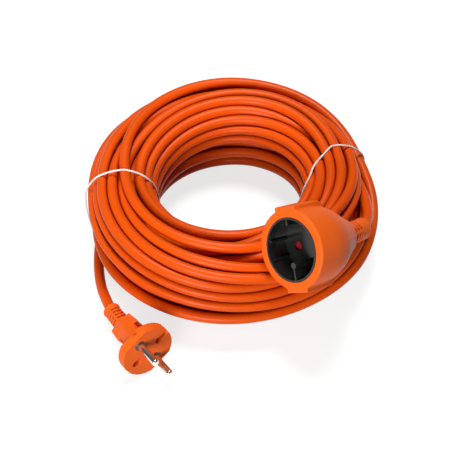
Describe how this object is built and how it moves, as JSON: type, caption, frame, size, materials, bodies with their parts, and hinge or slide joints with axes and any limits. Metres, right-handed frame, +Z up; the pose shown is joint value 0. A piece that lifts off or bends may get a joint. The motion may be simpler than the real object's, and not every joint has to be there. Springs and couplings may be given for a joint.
{
  "type": "extension cord",
  "caption": "Orange two-core extension cord in a tied coil, with a moulded non-earthed plug and a trailing socket that has a safety shutter.",
  "frame": {"origin": "centre of the whole object's box, on the surface that the coil lies on", "axes": "+Z up, the coil's axis; +Y away from the plug, along the object's longest side; +X towards the side where the socket's cord joins the coil"},
  "size_m": [0.2027, 0.2414, 0.112],
  "materials": {
    "cord_sheath": "satin flexible PVC",
    "orange_moulding": "soft moulded PVC, fine satin",
    "black_insert": "semi-gloss hard moulding",
    "dark_carrier": "dark grey hard moulding",
    "red_shutter": "semi-gloss",
    "nickel_pin": "polished nickel plate",
    "spring_steel": "drawn wire",
    "brass": "stamped strip",
    "brown_core": "insulation",
    "blue_core": "insulation",
    "white_tie": "plastic-coated wire"
  },
  "bodies": {
    "cord_set": {"contact_a": "brass", "contact_b": "brass", "contact_carrier": "black_insert", "cord_coil": "cord_sheath", "cord_lead_plug": "cord_sheath", "cord_lead_socket": "cord_sheath", "plug_body": "orange_moulding", "plug_core_blue": "blue_core", "plug_core_brown": "brown_core", "plug_crimp_a": "brass", "plug_crimp_b": "brass", "plug_pin_a": "nickel_pin", "plug_pin_b": "nickel_pin", "plug_pin_carrier": "dark_carrier", "plug_strain_relief": "orange_moulding", "shutter_spring": "spring_steel", "socket_body": "orange_moulding", "socket_core_blue": "blue_core", "socket_core_brown": "brown_core", "socket_crimp_a": "brass", "socket_crimp_b": "brass", "socket_insert": "black_insert", "socket_strain_relief": "orange_moulding", "tie_left": "white_tie", "tie_right": "white_tie"},
    "shutter": {"shutter": "red_shutter"}
  },
  "joints": [
    {"name": "shutter_slide", "type": "slide", "parent": "cord_set", "child": "shutter", "axis": [-0.1623, 0.6968, 0.6986], "range_m": [0, 0.006], "stiffness_N_per_m": 300, "springref_m": -0.004, "deforming": ["shutter_spring"]}
  ]
}
